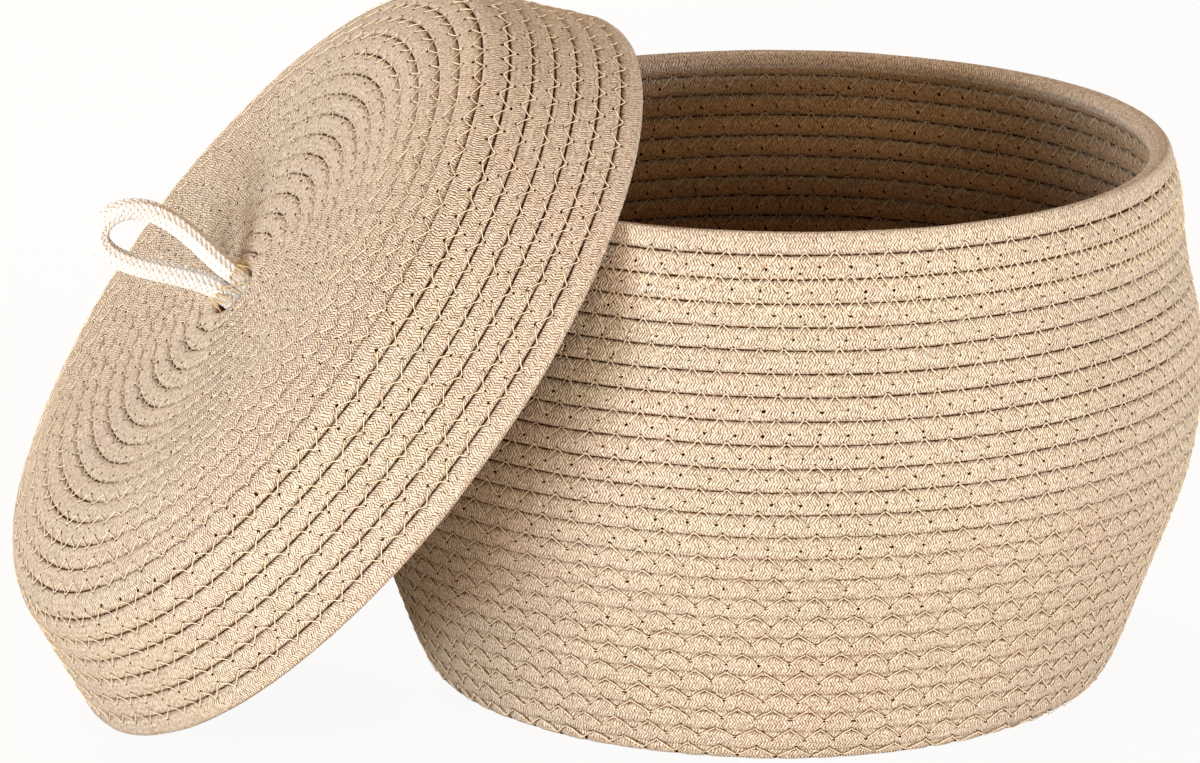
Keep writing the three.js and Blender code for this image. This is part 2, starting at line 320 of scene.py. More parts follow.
def cottonRope(name, values):
    # braided cotton sheath: matt, with a slight fuzz that brightens the edges
    material, tree, shader = newMaterial(name, {"Roughness": 0.92, "IOR": 1.5, "Sheen Roughness": 0.6})
    place = addNode(tree, "ShaderNodeTexCoord").outputs["Object"]

    def fact(label, output="Fac"):
        return addNode(tree, "ShaderNodeAttribute", attribute_name=label).outputs[output]

    outward, across = addNode(tree, "ShaderNodeSeparateXYZ", {0: fact("around", "Vector")}).outputs[:2]
    halfWidth = values["halfWidth"]
    speck = addNoise(tree, place, values["speckScale"], 1.0)
    fibre = addNoise(tree, place, values["fibreScale"], 2.0)

    # chevrons: strands lean one way in a column and the other way in the next
    sway = addNoise(tree, place, values["swayScale"], 1.0)
    width = addMath(tree, "DIVIDE", fact("aroundLength"), values["columnWidth"])
    column = addMath(tree, "MULTIPLY_ADD", sway, values["sway"], width)
    within = addMath(tree, "FRACT", column)
    parity = addMath(tree, "MODULO", addMath(tree, "FLOOR", column), 2.0)
    lean = addMath(tree, "MULTIPLY_ADD", parity, 2.0, -1.0)
    offCentre = addMath(tree, "MULTIPLY_ADD", within, values["slope"], -0.5 * values["slope"])
    leaning = addMath(tree, "MULTIPLY", offCentre, lean)
    staggered = addMath(tree, "MULTIPLY_ADD", parity, 0.5, leaning)
    repeats = addMath(tree, "MULTIPLY_ADD", fact("alongRope"), 1 / values["strandLength"], staggered)
    shake = addNoise(tree, place, values["shakeScale"], 1.0)
    shaken = addMath(tree, "MULTIPLY_ADD", shake, values["shake"], repeats)
    wave = addMath(tree, "SINE", addMath(tree, "MULTIPLY", shaken, math.pi))
    crown = addMath(tree, "POWER", addMath(tree, "ABSOLUTE", wave), 0.95)
    fromEdge = addMath(tree, "PINGPONG", within, 0.5)
    tucked = addNode(tree, "ShaderNodeMapRange",
                     {"Value": fromEdge, "From Min": 0.0, "From Max": 0.18, "To Min": 0.8, "To Max": 1.0})
    height = addMath(tree, "MULTIPLY", crown, tucked)

    # the last row's outer edge is free: no seam and no thread lies there
    outerHalf = addMath(tree, "GREATER_THAN", across, 0.0)
    free = addMath(tree, "MULTIPLY", fact("freeEdge"), outerHalf)
    joined = addMath(tree, "SUBTRACT", 1.0, free)

    # needle holes, painted dark as shade in them: wide ones in the row before the seam, narrower ones in the
    # row after
    ragged = addNoise(tree, place, values["raggedScale"], 0.0)
    torn = addMath(tree, "MULTIPLY_ADD", ragged, -values["raggedness"], values["raggedness"] / 2)
    holes = []
    for side, size in (("Above", 1.0), ("Below", 0.70)):
        away = addHoleDistance(tree, side, fact("stitch" + side), fact("reach" + side), across,
                               halfWidth, values["stitchLength"])
        radius = values["holeRadius"] * size
        holes.append(addFade(tree, addMath(tree, "ADD", away, torn), radius / 2, radius, 1.0, "SMOOTHSTEP"))
    hole = addMath(tree, "MAXIMUM", *holes)

    # the thread's way over the row before the seam and over the row after it
    arch = addArch(tree, fact("stitchAbove"), fact("archPower"))
    overOld = addMath(tree, "MULTIPLY", arch, fact("reachAbove"))
    pastOld = addMath(tree, "SUBTRACT", overOld, addMath(tree, "SUBTRACT", halfWidth, across))
    overNew = addMath(tree, "MULTIPLY", addRise(tree, fact("stitchBelow")), fact("reachBelow"))
    pastNew = addMath(tree, "SUBTRACT", overNew, addMath(tree, "ADD", halfWidth, across))
    beside = addMath(tree, "MINIMUM", *[addMath(tree, "ABSOLUTE", past) for past in (pastOld, pastNew)])
    dent = addFade(tree, beside, 0.0, values["dentWidth"], 1.0, "SMOOTHSTEP")
    # painted shadow of the thread: a thin dark line on each side of it, stronger where the rope sinks under
    # the thread
    creaseShadowStrength = addMath(tree, "MULTIPLY_ADD", fact("archDepth"), *values["creaseShade"])
    strength = addMath(tree, "MULTIPLY", creaseShadowStrength, joined)
    crease = addFade(tree, beside, values["creaseWidth"], values["creaseWidth"] * 2.2, strength)

    # a thin uneven shadow where two rows touch
    uneven = addMath(tree, "MULTIPLY_ADD", speck, -values["seamUneven"][0], values["seamUneven"][1])
    toSeam = addMath(tree, "SUBTRACT", halfWidth, addMath(tree, "ABSOLUTE", across))
    seam = addFade(tree, addMath(tree, "ADD", toSeam, uneven), values["seamWidth"] * 0.6,
                   values["seamWidth"] * 2.2, joined)

    # colour: dyed evenly, with patches a little warmer and a little greyer; painted shade makes it darker in
    # the gaps between strands and beside the thread, and browner on the inner side
    tint = addNode(tree, "ShaderNodeValToRGB", {"Fac": addNoise(tree, place, values["patchScale"], 2.0)})
    for k, label in enumerate(("coolTint", "warmTint")):
        tint.color_ramp.elements[k].position = values["patchRange"][k]
        tint.color_ramp.elements[k].color = hexColor(values[label])
    tint.color_ramp.elements.new(0.5).color = hexColor(values["color"])
    # painted shade: the inner side of the rope is browner and darker
    inside = addFade(tree, outward, values["insideTo"], values["insideFrom"], joined)
    dyedWithInsideShade = addMix(tree, inside, tint, hexColor(values["insideShadeColor"]))
    # painted shade, unevenly deep, in the gaps between the strands; with the thread's painted shadow it turns
    # the colour towards the gap colour, and the fibre grain adds the yarn's own uneven tone
    depth = addMath(tree, "MULTIPLY_ADD", speck, -values["gapShade"][0], values["gapShade"][1])
    gaps = addFade(tree, height, *values["gapRange"], depth)
    darker = addMath(tree, "MAXIMUM", gaps, crease)
    shadow = addMath(tree, "MAXIMUM", hole, seam)
    # specular and sheen are left out where shade or shadow is painted
    unshadedShare = addMath(tree, "SUBTRACT", 1.0, addMath(tree, "MAXIMUM", darker, shadow))
    for label, amount in (("Specular IOR Level", values["specular"]), ("Sheen Weight", values["sheen"])):
        tree.links.new(addMath(tree, "MULTIPLY", unshadedShare, amount).outputs[0], shader.inputs[label])
    grain = addFade(tree, fibre, *values["grainRange"], values["grain"])
    woven = addMix(tree, addMath(tree, "ADD", darker, grain), dyedWithInsideShade, hexColor(values["gapShadeAndGrainColor"]))
    # painted shadow where two rows touch
    seamed = addMix(tree, seam, woven, hexColor(values["seamShadowColor"]))
    # painted shade in the needle holes
    pierced = addMix(tree, hole, seamed, hexColor(values["holeShadeColor"]))
    tree.links.new(pierced, shader.inputs["Base Color"])

    fuzz = addMath(tree, "MULTIPLY", fibre, values["fuzz"])
    relief = addMath(tree, "MULTIPLY_ADD", height, values["bump"], fuzz)
    pressed = addMath(tree, "MULTIPLY_ADD", dent, -values["dentDepth"], relief)
    bump = addNode(tree, "ShaderNodeBump", {"Height": pressed, "Distance": 1.0, "Strength": 1.0})
    tree.links.new(bump.outputs["Normal"], shader.inputs["Normal"])
    return material


sewingThread = {"color": "#fdf0d8", "shadeColor": "#ead7b6", "twistLength": 0.0009, "bump": 0.00008}

tackThread = {"color": "#e6d2a8", "shadeColor": "#b5965f", "twistLength": 0.0009, "bump": 0.00008}


def cottonThread(name, values):
    # mercerised cotton thread: a touch glossier than the rope, two plies twisted
    material, tree, shader = newMaterial(name, {"Roughness": 0.6, "IOR": 1.5, "Specular IOR Level": 0.35})
    place = addNode(tree, "ShaderNodeTexCoord").outputs["Object"]
    tone = addNoise(tree, place, 120.0, 2.0)
    color = addMix(tree, tone, hexColor(values["color"]), hexColor(values["shadeColor"]))
    tree.links.new(color, shader.inputs["Base Color"])
    plies = addNode(tree, "ShaderNodeTexWave",
                    {"Vector": place, "Scale": 0.5 / values["twistLength"], "Distortion": 3.0},
                    wave_type="BANDS", bands_direction="DIAGONAL")
    bump = addNode(tree, "ShaderNodeBump",
                   {"Height": plies.outputs["Fac"], "Distance": values["bump"], "Strength": 0.6})
    tree.links.new(bump.outputs["Normal"], shader.inputs["Normal"])
    return material


cream = {"color": "#ededf1", "gapShadeAndGrainColor": "#dddad7", "twistLength": 0.0006, "bump": 0.00012}


def cottonCord(name, values):
    # bleached cotton strands, each of loosely twisted yarn
    material, tree, shader = newMaterial(
        name, {"Roughness": 0.9, "IOR": 1.5, "Specular IOR Level": 0.2, "Sheen Weight": 0.2})
    place = addNode(tree, "ShaderNodeTexCoord").outputs["Object"]
    yarn = addNoise(tree, place, 0.6 / values["twistLength"], 2.0)
    # painted shade: where the yarn's bump is low, the colour turns darker towards the gap colour
    share = addNode(tree, "ShaderNodeMapRange", {"Value": yarn, "From Min": 0.35, "From Max": 0.65})
    color = addMix(tree, share, hexColor(values["gapShadeAndGrainColor"]), hexColor(values["color"]))
    tree.links.new(color, shader.inputs["Base Color"])
    bump = addNode(tree, "ShaderNodeBump", {"Height": yarn, "Distance": values["bump"], "Strength": 1.0})
    tree.links.new(bump.outputs["Normal"], shader.inputs["Normal"])
    return material


ropeCotton = cottonRope("braidedCottonTan", sheath)
creamCotton = cottonCord("bleachedCottonCord", cream)
threadCotton = cottonThread("cottonSewingThread", sewingThread)
tackCotton = cottonThread("cottonTackThread", tackThread)
print("rope and thread materials made")


# Rope rows

ropeRows = {
    "Row Width": 0.01002, "Rope Thickness": 0.0100, "Inner Squareness": 2.5,
    "Hole Width": 0.0015, "Crease Width": 0.0008,
    "Wobble": 0.00022, "Wobble Scale": 24.0, "Material": ropeCotton,
}


def addWobble(tree, vector, wanted):  # a handmade unevenness, the same for the rope and its stitches
    noise = addNode(tree, "ShaderNodeTexNoise",
                    {"Vector": vector, "Scale": wanted["Wobble Scale"], "Detail": 1.0})
    centred = addNode(tree, "ShaderNodeVectorMath", {0: noise.outputs["Color"], 1: (0.5, 0.5, 0.5)},
                      operation="SUBTRACT")
    twice = addMath(tree, "MULTIPLY", wanted["Wobble"], 4.0)
    return addScaled(tree, centred, twice)


def buildProfile(tree, wanted):  # a rounded square, finer on the faces than where rows touch
    circle = addNode(tree, "GeometryNodeCurvePrimitiveCircle", {"Resolution": wanted["Sides"]})
    share = addMath(tree, "DIVIDE", addNode(tree, "GeometryNodeInputIndex"), wanted["Sides"])
    even = addMath(tree, "MULTIPLY_ADD", share, 2 * math.pi, -math.pi / 2)
    angle = even
    for times, amount in ((2.0, -0.30), (4.0, 0.08)):
        wave = addMath(tree, "SINE", addMath(tree, "MULTIPLY", even, times))
        angle = addMath(tree, "MULTIPLY_ADD", wave, amount, angle)
    parts = [addMath(tree, operation, angle) for operation in ("COSINE", "SINE")]
    rounder = addMath(tree, "SUBTRACT", wanted["Inner Squareness"], wanted["Squareness"])
    inner = addMath(tree, "LESS_THAN", parts[0], 0.0)
    squareness = addMath(tree, "MULTIPLY_ADD", rounder, inner, wanted["Squareness"])
    powers = [addMath(tree, "POWER", addMath(tree, "ABSOLUTE", part), squareness) for part in parts]
    root = addMath(tree, "DIVIDE", -1.0, squareness)
    factor = addMath(tree, "POWER", addMath(tree, "ADD", *powers), root)
    lengths = []
    for part, label in zip(parts, ("Rope Thickness", "Row Width")):
        half = addMath(tree, "MULTIPLY", wanted[label], 0.5)
        lengths.append(addMath(tree, "MULTIPLY", addMath(tree, "MULTIPLY", part, factor), half))
    place = addNode(tree, "ShaderNodeCombineXYZ", {0: lengths[0], 1: lengths[1]})
    shaped = addNode(tree, "GeometryNodeSetPosition", {"Geometry": circle, "Position": place})
    kept = addNode(tree, "GeometryNodeStoreNamedAttribute",
                   {"Geometry": shaped, "Name": "around", "Value": place},
                   data_type="FLOAT_VECTOR", domain="POINT")
    run = addNode(tree, "GeometryNodeSplineParameter")
    return addNode(tree, "GeometryNodeStoreNamedAttribute",
                   {"Geometry": kept, "Name": "aroundLength", "Value": run.outputs["Length"]},
                   data_type="FLOAT", domain="POINT")


def buildRopeTree():
    tree, source = newTree("coiledRope", [
        ("Row Width", "NodeSocketFloat", 0.01), ("Rope Thickness", "NodeSocketFloat", 0.01),
        ("Squareness", "NodeSocketFloat", 2.5), ("Inner Squareness", "NodeSocketFloat", 2.5),
        ("Sides", "NodeSocketInt", 16), ("Stitch Length", "NodeSocketFloat", 0.0125),
        ("Hole Depth", "NodeSocketFloat", 0.0), ("Hole Width", "NodeSocketFloat", 0.001),
        ("Crease Width", "NodeSocketFloat", 0.001),
        ("Wobble", "NodeSocketFloat", 0.0), ("Wobble Scale", "NodeSocketFloat", 20.0),
        ("Material", "NodeSocketMaterial", None)])
    wanted = source.outputs
    curve = addNode(tree, "GeometryNodeMeshToCurve", {0: wanted["Geometry"]})
    tube = addNode(tree, "GeometryNodeCurveToMesh",
                   {"Curve": curve, "Profile Curve": buildProfile(tree, wanted), "Fill Caps": True})
    parts = addNode(tree, "ShaderNodeSeparateXYZ", {0: namedFact(tree, "around", "FLOAT_VECTOR")})
    outward, across = parts.outputs[:2]
    size = namedFact(tree, "ropeSize")
    halfWidth = addMath(tree, "MULTIPLY", wanted["Row Width"], 0.5)
    share = addMath(tree, "DIVIDE", across, halfWidth)

    # between its two seams, so that it fits its neighbours where the rows turn a corner
    middle, lean = (namedFact(tree, label, "FLOAT_VECTOR") for label in ("centre", "rowNormal"))
    for side, sign in (("Above", 1.0), ("Below", -1.0)):
        part = addMath(tree, "MAXIMUM", addMath(tree, "MULTIPLY", share, sign), 0.0)
        shift = addScaled(tree, namedFact(tree, "to" + side, "FLOAT_VECTOR"), part)
        turn = addScaled(tree, namedFact(tree, "lean" + side, "FLOAT_VECTOR"), part)
        middle, lean = addSum(tree, middle, shift), addSum(tree, lean, turn)

    # the rope sinks between the arches of thread, and a little more at each needle hole
    arch = addArch(tree, namedFact(tree, "stitchAbove"), namedFact(tree, "archPower"))
    edge = addMath(tree, "MULTIPLY", arch, namedFact(tree, "reachAbove"))
    fromSeam = addMath(tree, "SUBTRACT", halfWidth, across)
    beyond = addMath(tree, "SUBTRACT", edge, fromSeam)
    narrow = addMath(tree, "MULTIPLY", wanted["Crease Width"], -1.0)
    sunk = addNode(tree, "ShaderNodeMapRange",
                   {"Value": beyond, "From Min": narrow, "From Max": wanted["Crease Width"]},
                   interpolation_type="SMOOTHSTEP")
    press = addMath(tree, "MULTIPLY", sunk, namedFact(tree, "archDepth"))
    for side in ("Above", "Below"):
        stitch, reach = (namedFact(tree, label + side) for label in ("stitch", "reach"))
        away = addHoleDistance(tree, side, stitch, reach, across, halfWidth, wanted["Stitch Length"])
        near = addMath(tree, "DIVIDE", away, wanted["Hole Width"])
        squared = addMath(tree, "MULTIPLY", near, near)
        bell = addMath(tree, "EXPONENT", addMath(tree, "MULTIPLY", squared, -1.0))
        press = addMath(tree, "MULTIPLY_ADD", bell, wanted["Hole Depth"], press)
    halfThickness = addMath(tree, "MULTIPLY", wanted["Rope Thickness"], 0.5)
    pressed = addMath(tree, "MULTIPLY", press, addMath(tree, "DIVIDE", outward, halfThickness))
    kept = addMath(tree, "SUBTRACT", outward, pressed)
    outwards = addScaled(tree, lean, addMath(tree, "MULTIPLY", kept, size))
    place = addSum(tree, middle, outwards)
    shaped = addNode(tree, "GeometryNodeSetPosition",
                     {"Geometry": tube, "Position": place, "Offset": addWobble(tree, place, wanted)})
    return finishTree(tree, source, shaped)


def ropePath(name, coil, fromTurn, toTurn, spacing):
    step, line = traceLine(coil)
    at = np.arange(len(line)) * step
    turns = [fromTurn]
    while turns[-1] < toTurn:
        radius = np.interp((turns[-1] + 0.5) * rope["pitch"], at, line[:, 0])
        turns.append(turns[-1] + spacing / (2 * math.pi * radius))
    turns = np.array(turns)
    turns = fromTurn + (turns - fromTurn) * (toTurn - fromTurn) / (turns[-1] - fromTurn)
    edges = []
    for past, length in ((coil["firstTurn"] - turns, rope["startTaperTurns"]),
                         (turns - coil["turns"], rope["endTaperTurns"])):
        share = np.clip(1 + past / length, 0, 1)
        edges.append((1 - rope["taperSize"]) * share ** 2 * (3 - 2 * share))
    below, above = turns + edges[0], turns + 1 - edges[1]
    size = above - below
    centre, normal = placeOnCoil(coil, turns, (above + below) / 2 * rope["pitch"])[:2]
    lengths = np.concatenate([[0], np.cumsum(np.linalg.norm(np.diff(centre, axis=0), axis=1))])
    seamTurns, phases = seamPhases(coil)
    facts = {"centre": centre, "rowNormal": normal, "ropeSize": size, "alongRope": lengths,
             "archPower": blendByTurn(coil, coil["archPower"], turns),
             "archDepth": blendByTurn(coil, coil["archDepth"], turns),
             "freeEdge": (turns > coil["turns"] - 1).astype(float)}
    for side, edge in (("Above", above), ("Below", below)):
        seamPoint, seamNormal = placeOnCoil(coil, turns, edge * rope["pitch"])[:2]
        facts["to" + side], facts["lean" + side] = seamPoint - centre, seamNormal - normal
    noHole = {"Above": 0.5, "Below": 0.0}  # a phase midway between two holes
    for side, seam in (("Above", turns), ("Below", turns - 1)):
        sewn = (seam >= coil["firstTurn"]) & (seam <= coil["turns"] - 1)
        phase = np.interp(seam, seamTurns, phases)
        facts["stitch" + side] = np.where(sewn, phase, noHole[side])
        facts["reach" + side] = reaches(coil, seam, phase)[0 if side == "Above" else 1]
    return pathMesh(name, centre, facts)


baseCentre = {"turn": 0.93, "from": -0.0055, "to": 0.0095, "halfWidth": 0.0076, "steps": 8}


def centrePath(name, coil, values):  # the rope's end, laid straight across the middle of the spiral
    count = values["steps"]
    along = np.linspace(values["from"], values["to"], count)[:, None]
    azimuth = azimuthAt(coil, values["turn"])
    way = np.array([math.cos(azimuth), math.sin(azimuth), 0.0])
    side = np.array([-way[1], way[0], 0.0]) * coil["winding"]
    centre = along * way + np.array([0.0, 0.0, coil["startHeight"]])
    zero, same = np.zeros((count, 3)), np.ones(count)
    facts = {"centre": centre, "rowNormal": zero - (0.0, 0.0, 1.0), "ropeSize": same,
             "alongRope": along[:, 0] - values["from"], "archPower": same * coil["archPower"][0],
             "archDepth": same * 0, "freeEdge": same * 0,
             "toAbove": zero + side * values["halfWidth"], "toBelow": zero - side * values["halfWidth"],
             "leanAbove": zero, "leanBelow": zero, "stitchAbove": same * 0.5, "stitchBelow": same * 0,
             "reachAbove": same * coil["reachOld"][0], "reachBelow": same * coil["reachNew"][0]}
    return pathMesh(name, centre, facts)


ropeTree = buildRopeTree()
ropePieces = [  # name, coil, body, node, first turn, last turn, step along the rope, sides
    ("basketBaseRope", basketCoil, "basket", "basket_coil", basketCoil["firstTurn"], 14.0, 0.0030, 16),
    ("basketFootRope", basketCoil, "basket", "basket_coil", 14.0, 20.0, 0.0023, 24),
    ("basketBellyRope", basketCoil, "basket", "basket_coil", 20.0, 26.0, 0.0023, 24),
    ("basketNeckRope", basketCoil, "basket", "basket_coil", 26.0, 32.0, 0.0023, 24),
    ("basketRimRope", basketCoil, "basket", "basket_coil", 32.0, 37.0, 0.0023, 24),
    ("basketTopRope", basketCoil, "basket", "basket_coil", 37.0, 38.0, 0.0023, 24),
    ("lidTopRope", lidCoil, "lid", "lid_coil", lidCoil["firstTurn"], 15.0, 0.0024, 24),
    ("lidEdgeRope", lidCoil, "lid", "lid_coil", 15.0, 21.0, 0.0024, 24),
    ("lidLipRope", lidCoil, "lid", "lid_coil", 21.0, 22.0, 0.0024, 24),
]
placed = []  # piece, body, nodes it stands for, slot
piece = bakePiece("basketCentreRope", centrePath("basketCentreRope", basketCoil, baseCentre), ropeTree,
                  {**ropeRows, "Sides": 16, "Squareness": 3.5, "Hole Depth": 0.0})
placed.append((piece, "basket", [], None))
for name, coil, body, node, fromTurn, toTurn, spacing, sides in ropePieces:
    squareness = rope["lastSquareness"] if toTurn == coil["turns"] else coil["squareness"]
    values = {**ropeRows, "Sides": sides, "Squareness": squareness,
              "Hole Depth": coil["holeDepth"], "Stitch Length": coil["stitchLength"][0]}
    piece = bakePiece(name, ropePath(name, coil, fromTurn, toTurn, spacing), ropeTree, values)
    placed.append((piece, body, [node], "tan_cotton_rope"))
    print(name, triangleCount(piece), "triangles")


# Stitches: a zigzag over each seam, inside and out

stitches = {
    "Thread Width": 0.00042, "Thread Sides": 5, "Sink": 0.0012, "Bridge": 0.90, "Crease": 0.25,
    "Material": threadCotton,
    "stops": (0, 0.04, 0.12, 0.24, 0.36, 0.46, 0.5, 0.54, 0.64, 0.76, 0.88, 0.96),  # points in one stitch
}


def buildStitchTree():
    tree, source = newTree("seamStitches", [
        ("Row Width", "NodeSocketFloat", 0.01), ("Rope Thickness", "NodeSocketFloat", 0.01),
        ("Squareness", "NodeSocketFloat", 2.5), ("Thread Width", "NodeSocketFloat", 0.0005),
        ("Thread Sides", "NodeSocketInt", 5), ("Sink", "NodeSocketFloat", 0.001),
        ("Lift", "NodeSocketFloat", 0.0001), ("Bridge", "NodeSocketFloat", 0.9),
        ("Crease", "NodeSocketFloat", 0.4), ("Wobble", "NodeSocketFloat", 0.0),
        ("Wobble Scale", "NodeSocketFloat", 20.0), ("Material", "NodeSocketMaterial", None)])
    wanted = source.outputs
    phase = namedFact(tree, "seamPhase")
    halfWidth = addMath(tree, "MULTIPLY", wanted["Row Width"], 0.5)
    halfThickness = addMath(tree, "MULTIPLY", wanted["Rope Thickness"], 0.5)

    # across the seam: the arch over the row before, then on to a hole in the row after
    arch = addArch(tree, phase, namedFact(tree, "archPower"))
    back = addMath(tree, "MULTIPLY", arch, namedFact(tree, "reachOld"))
    forth = addMath(tree, "MULTIPLY", addRise(tree, phase), namedFact(tree, "reachNew"))
    across = addMath(tree, "SUBTRACT", forth, back)

    # over the rows: on their rounded section, bridging the groove between them
    fromMiddle = addMath(tree, "SUBTRACT", halfWidth, addMath(tree, "ABSOLUTE", across))
    share = addMath(tree, "DIVIDE", fromMiddle, halfWidth)
    bulk = addMath(tree, "SUBTRACT", 1.0, addMath(tree, "POWER", share, wanted["Squareness"]))
    section = addMath(tree, "POWER", bulk, addMath(tree, "DIVIDE", 1.0, wanted["Squareness"]))
    bridged = addMath(tree, "MULTIPLY", addMath(tree, "MAXIMUM", section, wanted["Bridge"]), halfThickness)
    crease = addMath(tree, "MULTIPLY", namedFact(tree, "archDepth"), wanted["Crease"])
    onOld = addMath(tree, "MULTIPLY", crease, addMath(tree, "LESS_THAN", across, 0.0))
    bend = addMath(tree, "MULTIPLY", addMath(tree, "MULTIPLY", across, across), namedFact(tree, "rowBend"))
    drop = addMath(tree, "MULTIPLY_ADD", bend, 0.5, onOld)
    atHole = addMath(tree, "LESS_THAN", addMath(tree, "PINGPONG", phase, 0.25), 0.02)
    sunk = addMath(tree, "MULTIPLY_ADD", atHole, wanted["Sink"], drop)
    returning = addMath(tree, "GREATER_THAN", addMath(tree, "FRACT", phase), 0.51)
    dipped = addMath(tree, "MULTIPLY_ADD", returning, namedFact(tree, "secondDip"), sunk)
    height = addMath(tree, "SUBTRACT", addMath(tree, "ADD", bridged, wanted["Lift"]), dipped)

    sideways = addScaled(tree, namedFact(tree, "rowDirection", "FLOAT_VECTOR"), across)
    upwards = addScaled(tree, namedFact(tree, "rowNormal", "FLOAT_VECTOR"), height)
    place = addNode(tree, "GeometryNodeInputPosition")
    moved = addSum(tree, addSum(tree, sideways, upwards), addWobble(tree, place, wanted))
    laid = addNode(tree, "GeometryNodeSetPosition", {"Geometry": wanted["Geometry"], "Offset": moved})
    curve = addNode(tree, "GeometryNodeMeshToCurve", {0: laid})
    radius = addMath(tree, "MULTIPLY", wanted["Thread Width"], 0.5)
    thread = addTube(tree, curve, wanted["Thread Sides"], radius)
    return finishTree(tree, source, thread)


def stitchPath(name, coil, fromTurn, toTurn, side, shift):
    seamTurns, phases = seamPhases(coil)
    first, last = (math.ceil(np.interp(t, seamTurns, phases)) for t in (fromTurn, toTurn))
    phase = (np.arange(first, last)[:, None] + np.array(stitches["stops"])[None, :]).ravel()
    turns = np.interp(phase + shift, phases, seamTurns)
    centre, normal, direction, _, bend = placeOnCoil(coil, turns, (turns + 1) * rope["pitch"])
    old, new = reaches(coil, turns, phase + 7 * shift)
    return pathMesh(name, centre, {
        "seamPhase": phase - first, "reachOld": old, "reachNew": new, "rowBend": bend * side,
        "archDepth": blendByTurn(coil, coil["archDepth"], turns),
        "secondDip": blendByTurn(coil, coil["secondDip"], turns),
        "archPower": blendByTurn(coil, coil["archPower"], turns),
        "rowNormal": normal * side, "rowDirection": direction})


stitchTree = buildStitchTree()
stitchPieces = [  # name, coil, body, first turn, last turn, side, lift, shift
    ("basketBaseStitchesOutside", basketCoil, "basket", 0.3, 13.0, 1, -0.0006, 0),
    ("basketBaseStitchesInside", basketCoil, "basket", 0.3, 13.0, -1, 0.0003, 0),
    ("basketLowerStitchesOutside", basketCoil, "basket", 13.0, 25.0, 1, 0.0003, 0),
    ("basketLowerStitchesInside", basketCoil, "basket", 13.0, 25.0, -1, -0.0001, 0),
    ("basketUpperStitchesOutside", basketCoil, "basket", 25.0, 37.0, 1, 0.0003, 0),
    ("basketUpperStitchesInside", basketCoil, "basket", 25.0, 37.0, -1, -0.0001, 0),
    ("basketDoubleStitchesOutside", basketCoil, "basket", 34.4, 36.0, 1, 0.0004, 0.36),
    ("lidTopStitchesOutside", lidCoil, "lid", 0.9, 10.0, 1, -0.0002, 0),
    ("lidEdgeStitchesOutside", lidCoil, "lid", 10.0, 21.0, 1, 0.0003, 0),
    ("lidStitchesInside", lidCoil, "lid", 0.9, 21.0, -1, 0.0003, 0),
]
for name, coil, body, fromTurn, toTurn, side, lift, shift in stitchPieces:
    path = stitchPath(name, coil, fromTurn, toTurn, side, shift)
    squareness = coil["squareness"] if side > 0 else ropeRows["Inner Squareness"]
    values = {**ropeRows, **stitches, "Squareness": squareness, "Lift": lift}
    piece = bakePiece(name, path, stitchTree, values)
    placed.append((piece, body, [], None))
    print(name, triangleCount(piece), "triangles")


# Carrying loop: a hollow braid of cream strands round a core, and the knot under the lid

handle = {  # heights are over the middle of the lid's rope
    "footHeight": 0.0098, "footStart": 0.005, "reach": 0.059, "width": 0.020, "spacing": 0.0098,
    "sag": 0.010, "sagBend": 1.5, "step": 0.0005, "legTop": 0.0058, "tailSpread": 1.25,
    "knotTop": -0.0053, "knotBottom": -0.0233, "tail": 0.009, "wraps": 2, "wrapRadius": 0.0105,
}

cordBraid = {
    "Strands": 16, "Lay": 0.024, "Braid Radius": 0.00355, "Weave Depth": 0.00022,
    "Strand Radius": 0.00105, "Core Radius": 0.0041, "Material": creamCotton,
}


def buildBraidTree():
    tree, source = newTree("braidedCord", [
        ("Strands", "NodeSocketInt", 16), ("Lay", "NodeSocketFloat", 0.024),
        ("Braid Radius", "NodeSocketFloat", 0.0035), ("Weave Depth", "NodeSocketFloat", 0.0003),
        ("Strand Radius", "NodeSocketFloat", 0.001), ("Core Radius", "NodeSocketFloat", 0.003),
        ("Material", "NodeSocketMaterial", None)])
    wanted = source.outputs
    centreLine = addNode(tree, "GeometryNodeMeshToCurve", {0: wanted["Geometry"]})
    copies = addNode(tree, "GeometryNodeDuplicateElements",
                     {"Geometry": centreLine, "Amount": wanted["Strands"]}, domain="SPLINE")
    strand = copies.outputs["Duplicate Index"]
    odd = addMath(tree, "MODULO", strand, 2.0)
    way = addMath(tree, "MULTIPLY_ADD", odd, -2.0, 1.0)
    share = addMath(tree, "DIVIDE", strand, wanted["Strands"])
    start = addMath(tree, "MULTIPLY", share, 2 * math.pi)
    laid = addMath(tree, "DIVIDE", namedFact(tree, "alongCord"), wanted["Lay"])
    turned = addMath(tree, "MULTIPLY", laid, 2 * math.pi)
    angle = addMath(tree, "ADD", addMath(tree, "MULTIPLY", turned, way), start)
    crossings = addMath(tree, "MULTIPLY", turned, wanted["Strands"])
    overUnder = addMath(tree, "COSINE", addMath(tree, "MULTIPLY", crossings, 0.5))
    woven = addMath(tree, "MULTIPLY", overUnder, way)
    radial = addMath(tree, "MULTIPLY_ADD", woven, wanted["Weave Depth"], wanted["Braid Radius"])
    moves = []
    for label, operation in (("cordNormal", "COSINE"), ("cordSide", "SINE")):
        far = addMath(tree, "MULTIPLY", addMath(tree, operation, angle), radial)
        moves.append(addScaled(tree, namedFact(tree, label, "FLOAT_VECTOR"), far))
    move = addSum(tree, *moves)
    strands = addNode(tree, "GeometryNodeSetPosition", {"Geometry": copies, "Offset": move})
    tubes = [addTube(tree, strands, 6, wanted["Strand Radius"]),
             addTube(tree, centreLine, 12, wanted["Core Radius"])]
    joined = addNode(tree, "GeometryNodeJoinGeometry")
    for tube in tubes:
        tree.links.new(tube.outputs[0], joined.inputs[0])
    return finishTree(tree, source, joined)


